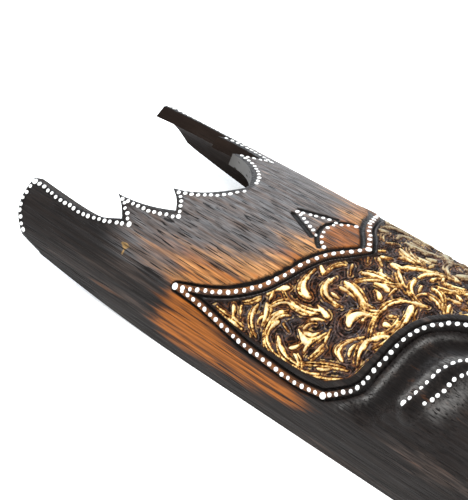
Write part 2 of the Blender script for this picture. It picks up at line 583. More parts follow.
def strokes():
    """Every leaf, and a thin companion cut along the outside of each long one."""
    for row in LEAVES:
        yield row
        tail, head, bow, half = np.array(row[:2]), np.array(row[2:4]), row[4], row[5]
        length = np.hypot(*(head - tail))
        if length > COMPANION_LEAST:
            turn = math.copysign(1.0, bow)
            side = np.array([tail[1] - head[1], head[0] - tail[0]]) / length
            aside = turn * (COMPANION_GAP + COMPANION_SPREAD * half) * side
            yield (*(tail + aside), *(head + aside - COMPANION_BACK * (head - tail)), bow, COMPANION_HALF)


def leaf_depth(s, y):
    """How deep each point lies inside the nearest leaf; a leaf widens from its tail to a round head."""
    depth = np.full_like(s, LEAF_FLOOR)
    for row in strokes():
        tail_s, tail_y, head_s, head_y, bow, half = (value * MM for value in row)
        line = bowed_line((tail_s, tail_y), (head_s, head_y), bow, LEAF_STEPS, TAIL_LENGTH)
        shares = (np.arange(LEAF_STEPS) + 1) / LEAF_STEPS
        widths = LEAF_SHARE * half * (LEAF_TAIL + (1 - LEAF_TAIL) * smooth_step(shares, *LEAF_WIDENS))
        widths *= 1 - LEAF_ROUNDING * smooth_step(shares, *LEAF_ROUNDS)
        near = distance(s, y, line[::LEAF_STEPS // 2]) < LEAF_REACH
        for start, end, width in zip(line, line[1:], widths):
            depth[near] = np.maximum(depth[near], width - distance(s[near], y[near], (start, end)))
    return depth


def eye_reach(s, y):
    """Distance of each point from the nearest scroll eye's ring, negative inside."""
    reach = np.full_like(s, FAR_OFF)
    for row in SCROLL_EYES:
        centre_s, centre_y, half_s, half_y = (value * MM for value in row)
        apart = np.hypot((s - centre_s) / half_s, (y - centre_y) / half_y) - 1.0
        reach = np.minimum(reach, apart * min(half_s, half_y))
    return reach


def nose_relief(x, y):
    share = np.clip((NOSE_ROOT_Y - y) / (NOSE_ROOT_Y - NOSE_Y), 0.0, 1.0)
    half = NOSE_BRIDGE_HALF + (NOSE_HALF - NOSE_BRIDGE_HALF) * share ** 1.6
    height = NOSE_RISE * (NOSE_BRIDGE_SHARE + (1 - NOSE_BRIDGE_SHARE) * share ** 1.2)
    height *= smooth_step(y, NOSE_Y - 0.009, NOSE_Y + 0.006) * smooth_step(y, BROW_Y + 0.012, BROW_Y - 0.010)
    return height * around(x, 0.0, half) + bump(x, y, *NOSE_WING)


def eye_relief(x, y):
    slit_y = EYE_Y - 0.0035 - 0.0035 * (1 - ((x - EYE_X) / SLIT_HALF) ** 2)
    length = smooth_step(np.abs(x - EYE_X), SLIT_HALF + 0.001, SLIT_HALF - 0.002)
    return bump(x, y, *EYE_SOCKET) + bump(x, y, *EYE_LID) - 0.0020 * around(y, slit_y, 0.0013) * length


def mouth_relief(x, y):
    seam_y = MOUTH_Y + 0.0015 * np.cos(np.clip(x / MOUTH_HALF, -1, 1) * math.pi)
    seam = -0.0030 * around(y, seam_y, 0.0016) * np.exp(-(x / MOUTH_HALF) ** 6)
    return bump(x, y, *UPPER_LIP) + bump(x, y, *LOWER_LIP) + seam


class Carving:
    """Relief over the log and the masks that the wood's finish reads, all for |s| and |x|."""

    def __init__(self, sizes, s, x, y):
        self.sizes = sizes
        s, x = np.abs(s), np.abs(x)
        self.masks = {}
        self.within = inside(s, y, panel_outline())
        self.height = (self.panel(s, y) + self.ornament(s, y) + self.brow(s, y) + self.face(x, y)
                       + self.crown_edge(s, y))
        self.wear(s, y)

    def panel(self, s, y):
        """The raised border with a groove on both sides, and the carved field inside it."""
        sizes = self.sizes
        upper, outer, lower = panel_lines()
        to_upper = distance(s, y, upper)
        to_outer = np.minimum(distance(s, y, outer), distance(s, y, lower))
        self.gap = np.minimum(to_upper, to_outer)
        past = self.gap - sizes.border_half
        above = ~self.within & (to_upper < to_outer)
        width = sizes.groove_width * (1.0 + sizes.groove_flare * above * smooth_step(s, *FLARE_S))
        groove = ridge(past - width / 2, GROOVE_ROUND * width, sizes.groove_depth) * (past > -GROOVE_START)
        border = sizes.border_rise * smooth_step(past, *BORDER_FALL) - groove
        inner_side, outer_side = GROOVE_STAIN
        self.masks["groove"] = smooth_step(past, *inner_side) * smooth_step(width - past, *outer_side)
        self.masks["band"] = smooth_step(past, *BAND_STAIN) * smooth_step(y, *BAND_Y)
        narrowing = (sizes.outer_margin - sizes.tip_margin) * smooth_step(y, *MARGIN_Y)
        depth = np.minimum(to_upper - sizes.margin, to_outer - (sizes.outer_margin - narrowing))
        field = self.within * smooth_step(depth, *FIELD_EDGE)
        self.masks["field"] = field
        self.masks["rubbed"] = 1.0 - SHADE_LOSS * smooth_step(s, *SHADE_S)
        return border * (1 - field) + field * (self.foliage(s, y, field > 0.001, depth) - sizes.ground_depth)

    def foliage(self, s, y, near, depth):
        """Height of leaves, scroll eyes and gouge marks over the ground."""
        leaf, eye = np.full_like(s, LEAF_FLOOR), np.full_like(s, FAR_OFF)
        leaf[near], eye[near] = leaf_depth(s[near], y[near]), eye_reach(s[near], y[near])
        leaf = np.minimum(leaf, depth - LEAF_MARGIN)
        self.masks["leaf"] = leaf / MM
        self.masks["eye"] = eye / MM
        tops = LEAF_RISE * smooth_step(leaf, *LEAF_FLANK) + LEAF_CROWNING * smooth_step(leaf, *LEAF_TOP)
        rings = sum(rise * around(eye, place, half) for rise, place, half in EYE_RINGS)
        gouged = GOUGE_RISE * np.cos((leaf + GOUGE_SHIFT) / GOUGE_PITCH * 2 * math.pi)
        gouged *= (leaf > GOUGE_REACH[0]) & (leaf < GOUGE_REACH[1])
        return np.maximum.reduce([tops, rings, gouged])

    def ornament(self, s, y):
        """Grooves outside the arrow and its arc."""
        leg = np.array([ARROW_APEX, ARROW_FOOT]) + LEG_GROOVE_SHIFT
        arc = bowed_line(ARC_TOP, ARC_END, ARC_BOW) + ARC_GROOVE_SHIFT
        outside = np.minimum(distance(s, y, leg), distance(s, y, arc))
        self.masks["ornament"] = outside / MM
        return -ridge(outside, *ORNAMENT_GROOVE)

    def brow(self, s, y):
        """The hollow under the panel with its burnished lip, the eyebrow, and the crease under it."""
        brow_line, lid_line = smooth_line(BROW_DOTS), smooth_line(LID_DOTS)
        hollow = distance(s, y, smooth_line(BROW_HOLLOW))
        lip = around(self.gap, LIP_GAP, LIP_SPREAD) * ~self.within
        lip = lip * smooth_step(y, *LIP_Y) * smooth_step(s, *LIP_S)
        over_brow = 0.8 * around(distance(s, y, brow_line + (0.0, 0.0036)), 0.0, 0.0024)
        lid = 0.65 * around(distance(s, y, lid_line - (0.0, 0.0070)), 0.0, 0.0050)
        self.masks["sheen"] = np.maximum.reduce([lip, over_brow, lid])
        crease = distance(s, y, brow_line + (0.0, CREASE_SHIFT))
        in_hollow = around(hollow, 0.0, HOLLOW_SOOT) * (1 - lip)
        self.masks["soot"] = np.maximum(around(crease, 0.0, CREASE_SOOT), in_hollow)
        raised = ridge(distance(s, y, smooth_line(EYEBROW)), *EYEBROW_RIDGE) + LIP_RISE * lip
        return raised - ridge(hollow, *BROW_GROOVE) - ridge(crease, *CREASE_GROOVE)

    def face(self, x, y):
        features = (eye_relief(x, y) + nose_relief(x, y) + mouth_relief(x, y) + bump(x, y, *CHEEK)
                    + bump(x, y, *CHIN_BOSS))
        self.masks["ridge"] = smooth_step(features, *FACE_RELIEF)
        return features

    def crown_edge(self, s, y):
        """Wear that rounds the sawn edge, and how near it is."""
        gap = np.full_like(s, FAR_OFF)
        near = y > CROWN_VALLEY[1] - 0.012
        gap[near] = distance(s[near], y[near], crown_line(EDGE_STEP))
        self.masks["edge"] = gap / MM
        reach, depth = EDGE_ROUNDING
        return -depth * np.maximum(1.0 - gap / reach, 0.0) ** 2

    def wear(self, s, y):
        """Where the torch left orange wood, and where the stain is worn, sawn away or chipped."""
        upper, _, _ = panel_lines()
        beside = around(s, *BESIDE_S) * self.along(y, BESIDE_Y)
        above = around(distance(s, y, upper), 0.0, ABOVE_REACH) * ~self.within * self.along(y, ABOVE_Y)
        nest = bump(s, y, *NEST) * ~self.within
        glow = beside + ABOVE_SHARE * above + NEST_SHARE * nest + bump(s, y, *BROWN_PATCH)
        self.masks["nest"] = nest
        self.masks["glow"] = np.clip(glow, 0.0, 1.0)
        self.masks["worn"] = self.along(y, WORN_Y) * smooth_step(s, *WORN_S)
        self.masks["bare"] = smooth_step(y, *SAWN_Y) * smooth_step(s, *SAWN_S)
        self.masks["chip"] = np.maximum.reduce([bump(s, y, *chip) for chip in CHIPS])

    def along(self, y, spans):
        """A mask that comes up over the first span and goes down over the second."""
        rising, falling = spans
        return smooth_step(y, *rising) * smooth_step(y, *falling)


def lattice(outline, log, sizes):
    """Points inside the outline, closer together where the carving is finer."""
    low, high = outline.min(axis=0), outline.max(axis=0)
    step = sizes.plain_step
    columns = np.arange(low[0] + step / 2, high[0], step)
    rows = np.arange(low[1] + step / 2, high[1], step)
    cell_s, cell_v = (grid.ravel() for grid in np.meshgrid(columns, rows))
    y = log.rolled(cell_v)
    gap = np.minimum.reduce([distance(cell_s, y, line) for line in panel_lines()])
    by_ornament = (cell_s < 0.018) & (y > 0.02) & (y < 0.092)
    fine = inside(cell_s, y, panel_outline()) | (gap < 0.006) | by_ornament
    face = (y < 0.0) & (cell_s < 0.085)
    edge = distance(cell_s, y, crown_line(EDGE_STEP)) < 0.004
    levels = np.where(face | edge, round(step / sizes.face_step), 1)
    levels = np.where(fine, round(step / sizes.fine_step), levels)
    points = []
    for level in np.unique(levels):
        chosen = levels == level
        offsets = (np.arange(level) + 0.5) / level - 0.5
        for j, dv in enumerate(offsets):
            for ds in offsets:
                shift = 0.25 * step / level * (1 if j % 2 else -1)
                spots = [cell_s[chosen] + ds * step + shift, cell_v[chosen] + dv * step]
                points.append(np.stack(spots, axis=-1))
    points = np.concatenate(points)
    points = points[inside(points[:, 0], points[:, 1], outline) & (points[:, 0] >= CLEARANCE)]
    return points[far_from(points, outline, CLEARANCE)]


def far_from(points, outline, least):
    """True for points at least so far from the closed outline."""
    closed = np.concatenate([outline, outline[:1]])
    keep = np.ones(len(points), dtype=bool)
    for start, end in zip(closed, closed[1:]):
        low, high = np.minimum(start, end) - least, np.maximum(start, end) + least
        near = np.flatnonzero(((points >= low) & (points <= high)).all(axis=1))
        if len(near):
            keep[near] &= distance(points[near, 0], points[near, 1], np.array([start, end])) >= least
    return keep


def triangulate(outline, points):
    """Delaunay triangles over the outline's points and those inside it, with the outline kept as edges."""
    every = np.concatenate([outline, points])
    count = len(outline)
    edges = [(index, (index + 1) % count) for index in range(count)]
    flat = [Vector(point) for point in every.tolist()]
    vertices, _, faces, kept, _, _ = delaunay_2d_cdt(flat, edges, [], 1, 1e-9)
    places = np.array([vertex[:] for vertex in vertices])
    if any(source != [index] for index, source in enumerate(kept[:count])):
        raise RuntimeError("The outline's points were merged.")
    return places, np.array([face for face in faces if len(face) == 3])


def half_outline(log):
    """The half mask's edge in (length across, length along the crest): crest line, crown, rim."""
    v_valley, v_chin = log.unrolled(CROWN_VALLEY[1]), log.profile[0]
    crest = evenly(np.array([(0.0, v_chin), (0.0, v_valley)]), CREST_STEP)[:-1]
    crown = crown_line(CROWN_STEP)
    crown[-1, 0] = log.rim_s(np.array([PRONG_HEEL[1]]))[0]
    crown[:, 1] = log.unrolled(crown[:, 1])
    v_rim = np.concatenate([np.arange(crown[-1, 1] - RIM_STEP, v_chin + CHIN_ROUND + 0.001, -RIM_STEP),
                            v_chin + CHIN_ROUND * (1 - np.arange(CHIN_POINTS) / CHIN_POINTS)])
    y_rim = log.rolled(v_rim)
    rim = np.stack([log.rim_s(y_rim), v_rim], axis=-1)
    return np.concatenate([crest, crown, rim]), len(crest), len(crown)


def add_attribute(mesh, name, values):
    layer = mesh.attributes.new(name, "FLOAT", "POINT")
    layer.data.foreach_set("value", np.ascontiguousarray(values, dtype=np.float32))


def finish_piece(name, mesh, materials):
    """Links the piece with its finishes and tells the frame what it is."""
    item = bpy.data.objects.new(name, mesh)
    bpy.context.scene.collection.objects.link(item)
    for material in materials:
        mesh.materials.append(material)
    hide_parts(NODE)
    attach(item, BODY)


class Sockets:
    """Short ways to add and link shader nodes in one tree."""

    def __init__(self, tree):
        self.tree = tree
        self.count = 0

    def node(self, kind, inputs=None, **settings):
        node = self.tree.nodes.new("ShaderNode" + kind)
        node.location = (200 * (self.count % 8), -220 * (self.count // 8))
        self.count += 1
        for name, value in settings.items():
            setattr(node, name, value)
        for name, value in (inputs or {}).items():
            self.feed(node.inputs[name], value)
        return node

    def feed(self, socket, value):
        if isinstance(value, bpy.types.NodeSocket):
            self.tree.links.new(value, socket)
        else:
            socket.default_value = value

    def math(self, operation, first, second=0.0):
        node = self.node("Math", operation=operation)
        self.feed(node.inputs[0], first)
        self.feed(node.inputs[1], second)
        return node.outputs[0]

    def times(self, first, second):
        return self.math("MULTIPLY", first, second)

    def plus(self, first, second):
        return self.math("ADD", first, second)

    def minus(self, first, second):
        return self.math("SUBTRACT", first, second)

    def larger(self, first, second):
        return self.math("MAXIMUM", first, second)

    def ramp(self, value, low, high, to_low=0.0, to_high=1.0):
        node = self.node("MapRange", interpolation_type="SMOOTHSTEP")
        for name, item in zip(("Value", "From Min", "From Max", "To Min", "To Max"),
                              (value, low, high, to_low, to_high)):
            self.feed(node.inputs[name], item)
        return node.outputs[0]

    def mix(self, share, first, second, blend="MIX"):
        node = self.node("Mix", data_type="RGBA", blend_type=blend)
        self.feed(node.inputs[0], share)
        for socket, value in zip((node.inputs[6], node.inputs[7]), (first, second)):
            self.feed(socket, value if isinstance(value, bpy.types.NodeSocket) else (*value[:3], 1.0))
        return node.outputs[2]

    def coats(self, base, *coats):
        """Lays each coat, as (mask, share, colour), over what lies below it."""
        for mask, share, colour in coats:
            base = self.mix(mask if share == 1.0 else self.times(mask, share), base, colour)
        return base

    def mix_value(self, share, first, second):
        node = self.node("Mix", data_type="FLOAT")
        for socket, value in zip(node.inputs[:1] + node.inputs[2:4], (share, first, second)):
            self.feed(socket, value)
        return node.outputs[0]

    def attribute(self, name):
        return self.node("Attribute", attribute_name=name).outputs["Fac"]

    def noise(self, vector, scale, detail, roughness=0.6):
        inputs = {"Vector": vector, "Scale": scale, "Detail": detail, "Roughness": roughness}
        return self.node("TexNoise", inputs).outputs["Fac"]


def new_group(name, inputs, outputs):
    """An empty shader group of number sockets, and the sockets that it takes in and gives out."""
    tree = bpy.data.node_groups.new(name, "ShaderNodeTree")
    for label, default in inputs.items():
        socket = tree.interface.new_socket(label, in_out="INPUT", socket_type="NodeSocketFloat")
        socket.default_value = default
    for label in outputs:
        tree.interface.new_socket(label, in_out="OUTPUT", socket_type="NodeSocketFloat")
    return Sockets(tree), tree.nodes.new("NodeGroupInput").outputs, tree.nodes.new("NodeGroupOutput").inputs


def grain_group():
    """Wood grain along Y: broad streaks, fine streaks and short dark pores."""
    sockets, start, end = new_group("Wood grain", FINE_GRAIN, ("Streaks", "Threads", "Pores", "Height"))
    place = sockets.node("TexCoord").outputs["Object"]
    wander = sockets.times(sockets.minus(sockets.noise(place, 9.0, 2.0, 0.55), 0.5), 0.002)
    parts = sockets.node("SeparateXYZ", {"Vector": place}).outputs
    sideways = sockets.plus(parts["X"], wander)
    places = []
    for share in (start["Patch length"], start["Thread length"]):
        stretched = {"X": sideways, "Y": sockets.times(parts["Y"], share), "Z": parts["Z"]}
        places.append(sockets.node("CombineXYZ", stretched).outputs[0])
    streaks = sockets.noise(places[0], start["Coarse"], 4.0)
    threads = sockets.noise(places[1], start["Fine"], 2.0)
    pore_noise = sockets.noise(places[1], sockets.times(start["Fine"], 1.1), 0.0, 0.5)
    edge = sockets.minus(0.80, sockets.times(start["Pores"], 0.15))
    pores = sockets.ramp(pore_noise, edge, sockets.plus(edge, 0.05))
    height = sockets.minus(threads, sockets.times(pores, 1.2))
    for label, value in (("Streaks", streaks), ("Threads", threads), ("Pores", pores), ("Height", height)):
        sockets.feed(end[label], value)


def rub_group():
    """Uneven rubbing of a finish: a soft patchy mask."""
    sockets, start, end = new_group("Uneven rubbing", {"Scale": 60.0, "Low": 0.4, "High": 0.6}, ("Mask",))
    place = sockets.node("TexCoord").outputs["Object"]
    soft = sockets.noise(place, start["Scale"], 3.0)
    sockets.feed(end["Mask"], sockets.ramp(soft, start["Low"], start["High"]))


def use_group(sockets, name, inputs):
    node = sockets.node("Group", node_tree=bpy.data.node_groups[name])
    for label, value in inputs.items():
        sockets.feed(node.inputs[label], value)
    return node.outputs


def rubbing(sockets, scale, low, high):
    return use_group(sockets, "Uneven rubbing", {"Scale": scale, "Low": low, "High": high})["Mask"]


def new_material(name):
    material = bpy.data.materials.new(name)
    material.use_nodes = True
    return material, Sockets(material.node_tree), material.node_tree.nodes["Principled BSDF"]


def bumped(sockets, shader, height, strength, depth):
    node = sockets.node("Bump", {"Height": height, "Strength": strength, "Distance": depth})
    sockets.feed(shader.inputs["Normal"], node.outputs["Normal"])


def warm_wood(sockets, colours, streaks, broad_streaks, worn):
    """Burnt orange with amber where the stain is worn, and dark streaks."""
    nest = sockets.ramp(sockets.attribute("nest"), 0.1, 0.6)
    light = sockets.times(sockets.ramp(streaks, 0.36, 0.60), sockets.ramp(worn, 0.2, 0.7))
    light = sockets.times(light, sockets.minus(1.0, nest))
    return sockets.coats(colours.glow, (light, 1.0, colours.amber),
                         (sockets.ramp(broad_streaks, 0.52, 0.36, 0.0, 0.70), 1.0, colours.dark),
                         (nest, 0.30, colours.dark))


def stained_wood(colours):
    """Outside of the mask: dark stain, worn middle, burnt orange zones and dark grooves."""
    material, sockets, shader = new_material("Stained wood")
    grain = use_group(sockets, "Wood grain", FINE_GRAIN)
    broad = use_group(sockets, "Wood grain", BROAD_GRAIN)
    streaks, broad_streaks, worn = grain["Streaks"], broad["Streaks"], sockets.attribute("worn")
    wander = sockets.times(sockets.minus(streaks, 0.5), 2.2)
    base = sockets.mix(sockets.ramp(sockets.plus(worn, wander), 0.05, 0.90), colours.dark, colours.brown)
    hazy = sockets.times(sockets.ramp(broad_streaks, 0.25, 0.70), sockets.ramp(worn, 0.0, 0.8, 0.10, 1.0))
    ridges = sockets.times(sockets.attribute("ridge"), sockets.ramp(streaks, 0.35, 0.60, 0.3, 0.9))
    burnished = sockets.times(sockets.attribute("sheen"), sockets.ramp(streaks, 0.30, 0.60, 0.25, 0.85))
    broken = sockets.plus(sockets.times(wander, 0.6), sockets.times(sockets.minus(broad_streaks, 0.5), 1.3))
    glowing = sockets.ramp(sockets.plus(sockets.attribute("glow"), broken), 0.25, 1.05)
    chip = sockets.ramp(sockets.attribute("chip"), 0.42, 0.62)
    band = sockets.times(sockets.attribute("band"), sockets.ramp(streaks, 0.30, 0.60, 0.45, 0.90))
    base = sockets.coats(base, (hazy, 0.62, colours.haze), (ridges, 1.0, colours.rub),
                         (sockets.attribute("soot"), 0.90, colours.char), (burnished, 1.0, colours.bare),
                         (glowing, 0.95, warm_wood(sockets, colours, streaks, broad_streaks, worn)),
                         (chip, 0.85, colours.chip), (band, 1.0, colours.band))
    threads = sockets.mix_value(0.25, grain["Threads"], broad["Threads"])
    threads = sockets.ramp(threads, 0.30, 0.70, 0.52, 1.42)
    tone = sockets.node("CombineColor", {"Red": threads, "Green": threads, "Blue": threads}).outputs[0]
    base = sockets.mix(1.0, base, tone, "MULTIPLY")
    ornament = sockets.ramp(sockets.attribute("ornament"), 1.9, 1.3)
    rim = sockets.times(sockets.ramp(sockets.attribute("edge"), 5.0, 2.2), 0.85)
    dark_lines = sockets.larger(sockets.larger(sockets.attribute("groove"), ornament), rim)
    base = sockets.coats(base, (grain["Pores"], 0.92, colours.char), (dark_lines, 1.0, colours.char))
    sockets.feed(shader.inputs["Base Color"], base)
    polish = sockets.ramp(worn, 0.0, 0.3, 0.0, 0.10)
    rough = sockets.plus(sockets.ramp(grain["Threads"], 0.30, 0.70, 0.56, 0.32), polish)
    sockets.feed(shader.inputs["Roughness"], rough)
    shader.inputs["Specular IOR Level"].default_value = 0.20
    bumped(sockets, shader, grain["Height"], 0.8, 0.00040)
    return material


def stripes(sockets, value, pitch, phase, half):
    """1 on thin lines that repeat along the value, 0 between them."""
    turned = sockets.math("DIVIDE", sockets.plus(value, phase), pitch)
    apart = sockets.math("ABSOLUTE", sockets.minus(sockets.math("FRACT", turned), 0.5))
    return sockets.ramp(apart, half / pitch * 1.6, half / pitch * 0.6)


def carved_lines(sockets, leaf, eye):
    """Gouge lines around the leaves and rings in the scroll eyes."""
    around_leaf = sockets.times(sockets.ramp(leaf, -0.55, -0.75), sockets.ramp(leaf, -4.6, -1.4, 0.12, 1.0))
    in_eye = sockets.times(sockets.ramp(eye, -3.4, -3.0), sockets.ramp(eye, 0.9, 0.5))
    gouges = sockets.times(stripes(sockets, leaf, 1.9, 0.35, 0.36), around_leaf)
    rings = sockets.times(stripes(sockets, eye, 1.8, 0.9, 0.34), in_eye)
    return sockets.times(sockets.larger(gouges, rings), sockets.ramp(leaf, -0.4, -0.6))


def painted_scrolls(colours):
    """The carved panel: cream rubbed tops, burnt flanks and a dark gouged ground."""
    material, sockets, shader = new_material("Painted scrolls")
    grain = use_group(sockets, "Wood grain", CARVED_GRAIN)
    patches = rubbing(sockets, 170.0, 0.40, 0.52)
    tints = rubbing(sockets, 90.0, 0.35, 0.65)
    ragged = rubbing(sockets, 700.0, 0.2, 0.8)
    lobes = rubbing(sockets, 300.0, 0.25, 0.75)
    near = sockets.attribute("rubbed")
    shake = sockets.plus(sockets.times(sockets.minus(ragged, 0.45), 0.40),
                         sockets.times(sockets.minus(lobes, 0.40), 0.85))
    leaf = sockets.plus(sockets.attribute("leaf"), shake)
    eye = sockets.plus(sockets.attribute("eye"), sockets.times(shake, 0.6))
    lines = carved_lines(sockets, leaf, eye)
    strokes_near = sockets.times(sockets.ramp(lobes, 0.62, 0.90), sockets.ramp(leaf, -2.6, -1.8))
    line_colour = sockets.mix(tints, (0.090, 0.080, 0.086), (0.17, 0.055, 0.014))
    line_colour = sockets.mix(strokes_near, line_colour, (0.42, 0.27, 0.10))
    flank = sockets.mix(near, (0.075, 0.055, 0.042), colours.flank)
    cream = sockets.mix(sockets.ramp(leaf, 0.0, 0.7), (0.72, 0.45, 0.13), colours.cream)
    cream = sockets.mix(near, (0.165, 0.150, 0.125), cream)
    tops = sockets.times(sockets.ramp(leaf, -0.12, 0.16), sockets.ramp(patches, 0.0, 1.0, 0.55, 1.0))
    bites = sockets.times(sockets.ramp(ragged, 0.80, 0.92), sockets.ramp(leaf, 1.2, 0.2))
    base = sockets.mix(sockets.ramp(grain["Streaks"], 0.48, 0.66), colours.ground, (0.034, 0.025, 0.024))
    drawn = sockets.times(lines, sockets.ramp(lobes, 0.25, 0.65, 0.30, 1.0))
    base = sockets.coats(base, (drawn, 1.0, line_colour),
                         (sockets.ramp(leaf, -0.55, -0.15), 0.92, flank), (tops, 1.0, cream),
                         (bites, 0.7, colours.flank),
                         (sockets.ramp(sockets.attribute("field"), 0.9, 0.4), 1.0, (0.018, 0.012, 0.010)))
    sockets.feed(shader.inputs["Base Color"], base)
    sockets.feed(shader.inputs["Roughness"], sockets.ramp(leaf, 0.0, 0.4, 0.42, 0.55))
    shader.inputs["Specular IOR Level"].default_value = 0.10
    height = sockets.plus(sockets.times(grain["Height"], 0.4), sockets.times(lines, 1.2))
    bumped(sockets, shader, height, 0.7, 0.00035)
    return material


def hollow_wood(colours):
    """Plain chiselled inside and cut edges."""
    material, sockets, shader = new_material("Hollow wood")
    grain = use_group(sockets, "Wood grain", HOLLOW_GRAIN)
    base = sockets.mix(sockets.ramp(grain["Streaks"], 0.35, 0.65), colours.dark, colours.raw)
    base = sockets.coats(base, (sockets.attribute("bare"), 1.0, colours.bare),
                         (grain["Pores"], 0.7, (0.010, 0.007, 0.005)))
    sockets.feed(shader.inputs["Base Color"], base)
    shader.inputs["Roughness"].default_value = 0.62
    shader.inputs["Specular IOR Level"].default_value = 0.05
    bumped(sockets, shader, grain["Height"], 0.6, 0.00040)
    return material


def white_paint(colour):
    """Thick white dotting paint, slightly uneven."""
    material, sockets, shader = new_material("White paint")
    patches = rubbing(sockets, 500.0, 0.3, 0.7)
    base = sockets.mix(patches, tuple(0.86 * part for part in colour), colour)
    sockets.feed(shader.inputs["Base Color"], base)
    shader.inputs["Roughness"].default_value = 0.42
    bumped(sockets, shader, patches, 0.3, 0.00015)
    return material


class MASK_OT_carve(bpy.types.Operator):
    """Carves the mask: log, hollow, crown, panel and face in one closed mesh."""

    bl_idname = "mask.carve"
    bl_label = "Carve mask"

    def execute(self, context):
        scene = context.scene
        sizes = scene.mask_carving
        log = Log(scene.mask_log)
        outline, crest_count, crown_count = half_outline(log)
        outer_flat, outer_faces = triangulate(outline, lattice(outline, log, sizes))
        coarse = self.coarse_points(outline, sizes.hollow_step)
        inner_flat, inner_faces = triangulate(outline, coarse)

        s, y = outer_flat[:, 0], log.rolled(outer_flat[:, 1])
        plain = log.point(s, y)
        carving = Carving(sizes, s, plain[:, 0], y)
        outer = plain + log.normal(s, y) * carving.height[:, None]
        inner_y = log.rolled(inner_flat[:, 1])
        inner = log.hollow_point(log.point(inner_flat[:, 0], inner_y))
        ring = np.arange(crest_count, len(outline))
        rim = np.arange(crest_count + crown_count - 1, len(outline))
        outer[rim, 2] = inner[rim, 2] = log.rim_height(outer[rim, 1])
        for sheet in (outer, inner):
            sheet[:, 2] = np.maximum(sheet[:, 2], log.rim_height(sheet[:, 1]))
            sheet[:crest_count + 1, 0] = 0.0

        count = len(outer)
        loop = np.concatenate([ring, [0]])
        walls = []
        for first, second in zip(loop, loop[1:]):
            walls.append((first, first + count, second + count))
            walls.append((first, second + count, second))
        faces = np.concatenate([outer_faces, inner_faces[:, ::-1] + count, np.array(walls)])
        kinds = np.concatenate([np.zeros(len(outer_faces), int), np.full(len(inner_faces) + len(walls), 2)])
        centre_field = carving.masks["field"][outer_faces].mean(axis=1)
        kinds[:len(outer_faces)][centre_field > 0.02] = 1
        points = np.concatenate([outer, inner])
        on_plane = np.zeros(len(points), dtype=bool)
        on_plane[:crest_count + 1] = True
        on_plane[count:count + crest_count + 1] = True
        mesh = self.mirrored(points, faces, kinds, on_plane, carving.masks, count, len(outline))
        finishes = (stained_wood, painted_scrolls, hollow_wood)
        finish_piece("carved_mask", mesh, [finish(scene.mask_colours) for finish in finishes])
        return {"FINISHED"}

    def coarse_points(self, outline, step):
        low, high = outline.min(axis=0), outline.max(axis=0)
        columns = np.arange(low[0] + step / 2, high[0], step)
        rows = np.arange(low[1] + step / 2, high[1], step)
        points = np.stack([grid.ravel() for grid in np.meshgrid(columns, rows)], axis=-1)
        points = points[inside(points[:, 0], points[:, 1], outline)]
        return points[far_from(points, outline, 0.4 * step)]

    def mirrored(self, points, faces, kinds, on_plane, masks, count, ring_end):
        """Both halves of the mask in one mesh, joined along the plane between them."""
        total = len(points)
        other = np.where(on_plane, np.arange(total), total + np.cumsum(~on_plane) - 1)
        flipped = points[~on_plane] * np.array([-1.0, 1.0, 1.0])
        every = np.concatenate([points, flipped])
        both = np.concatenate([faces, other[faces][:, ::-1]])
        mesh = bpy.data.meshes.new("carved_mask")
        mesh.from_pydata(every.tolist(), [], both.tolist())
        mesh.polygons.foreach_set("material_index", np.concatenate([kinds, kinds]))
        for name, values in masks.items():
            half = np.full(total, FAR_OFF / MM if name in DISTANCE_MASKS else 0.0)
            half[:count] = values
            if name == "bare":
                half[count:count + ring_end] = values[:ring_end]
            halves = [half, half[~on_plane]]
            for side, value in enumerate(ONE_SIDED.get(name, ())):
                if value is not None:
                    halves[side] = np.full_like(halves[side], value)
            add_attribute(mesh, name, np.concatenate(halves))
        mesh.shade_smooth()
        mesh.set_sharp_from_angle(angle=math.radians(50))
        mesh.update()
        return mesh


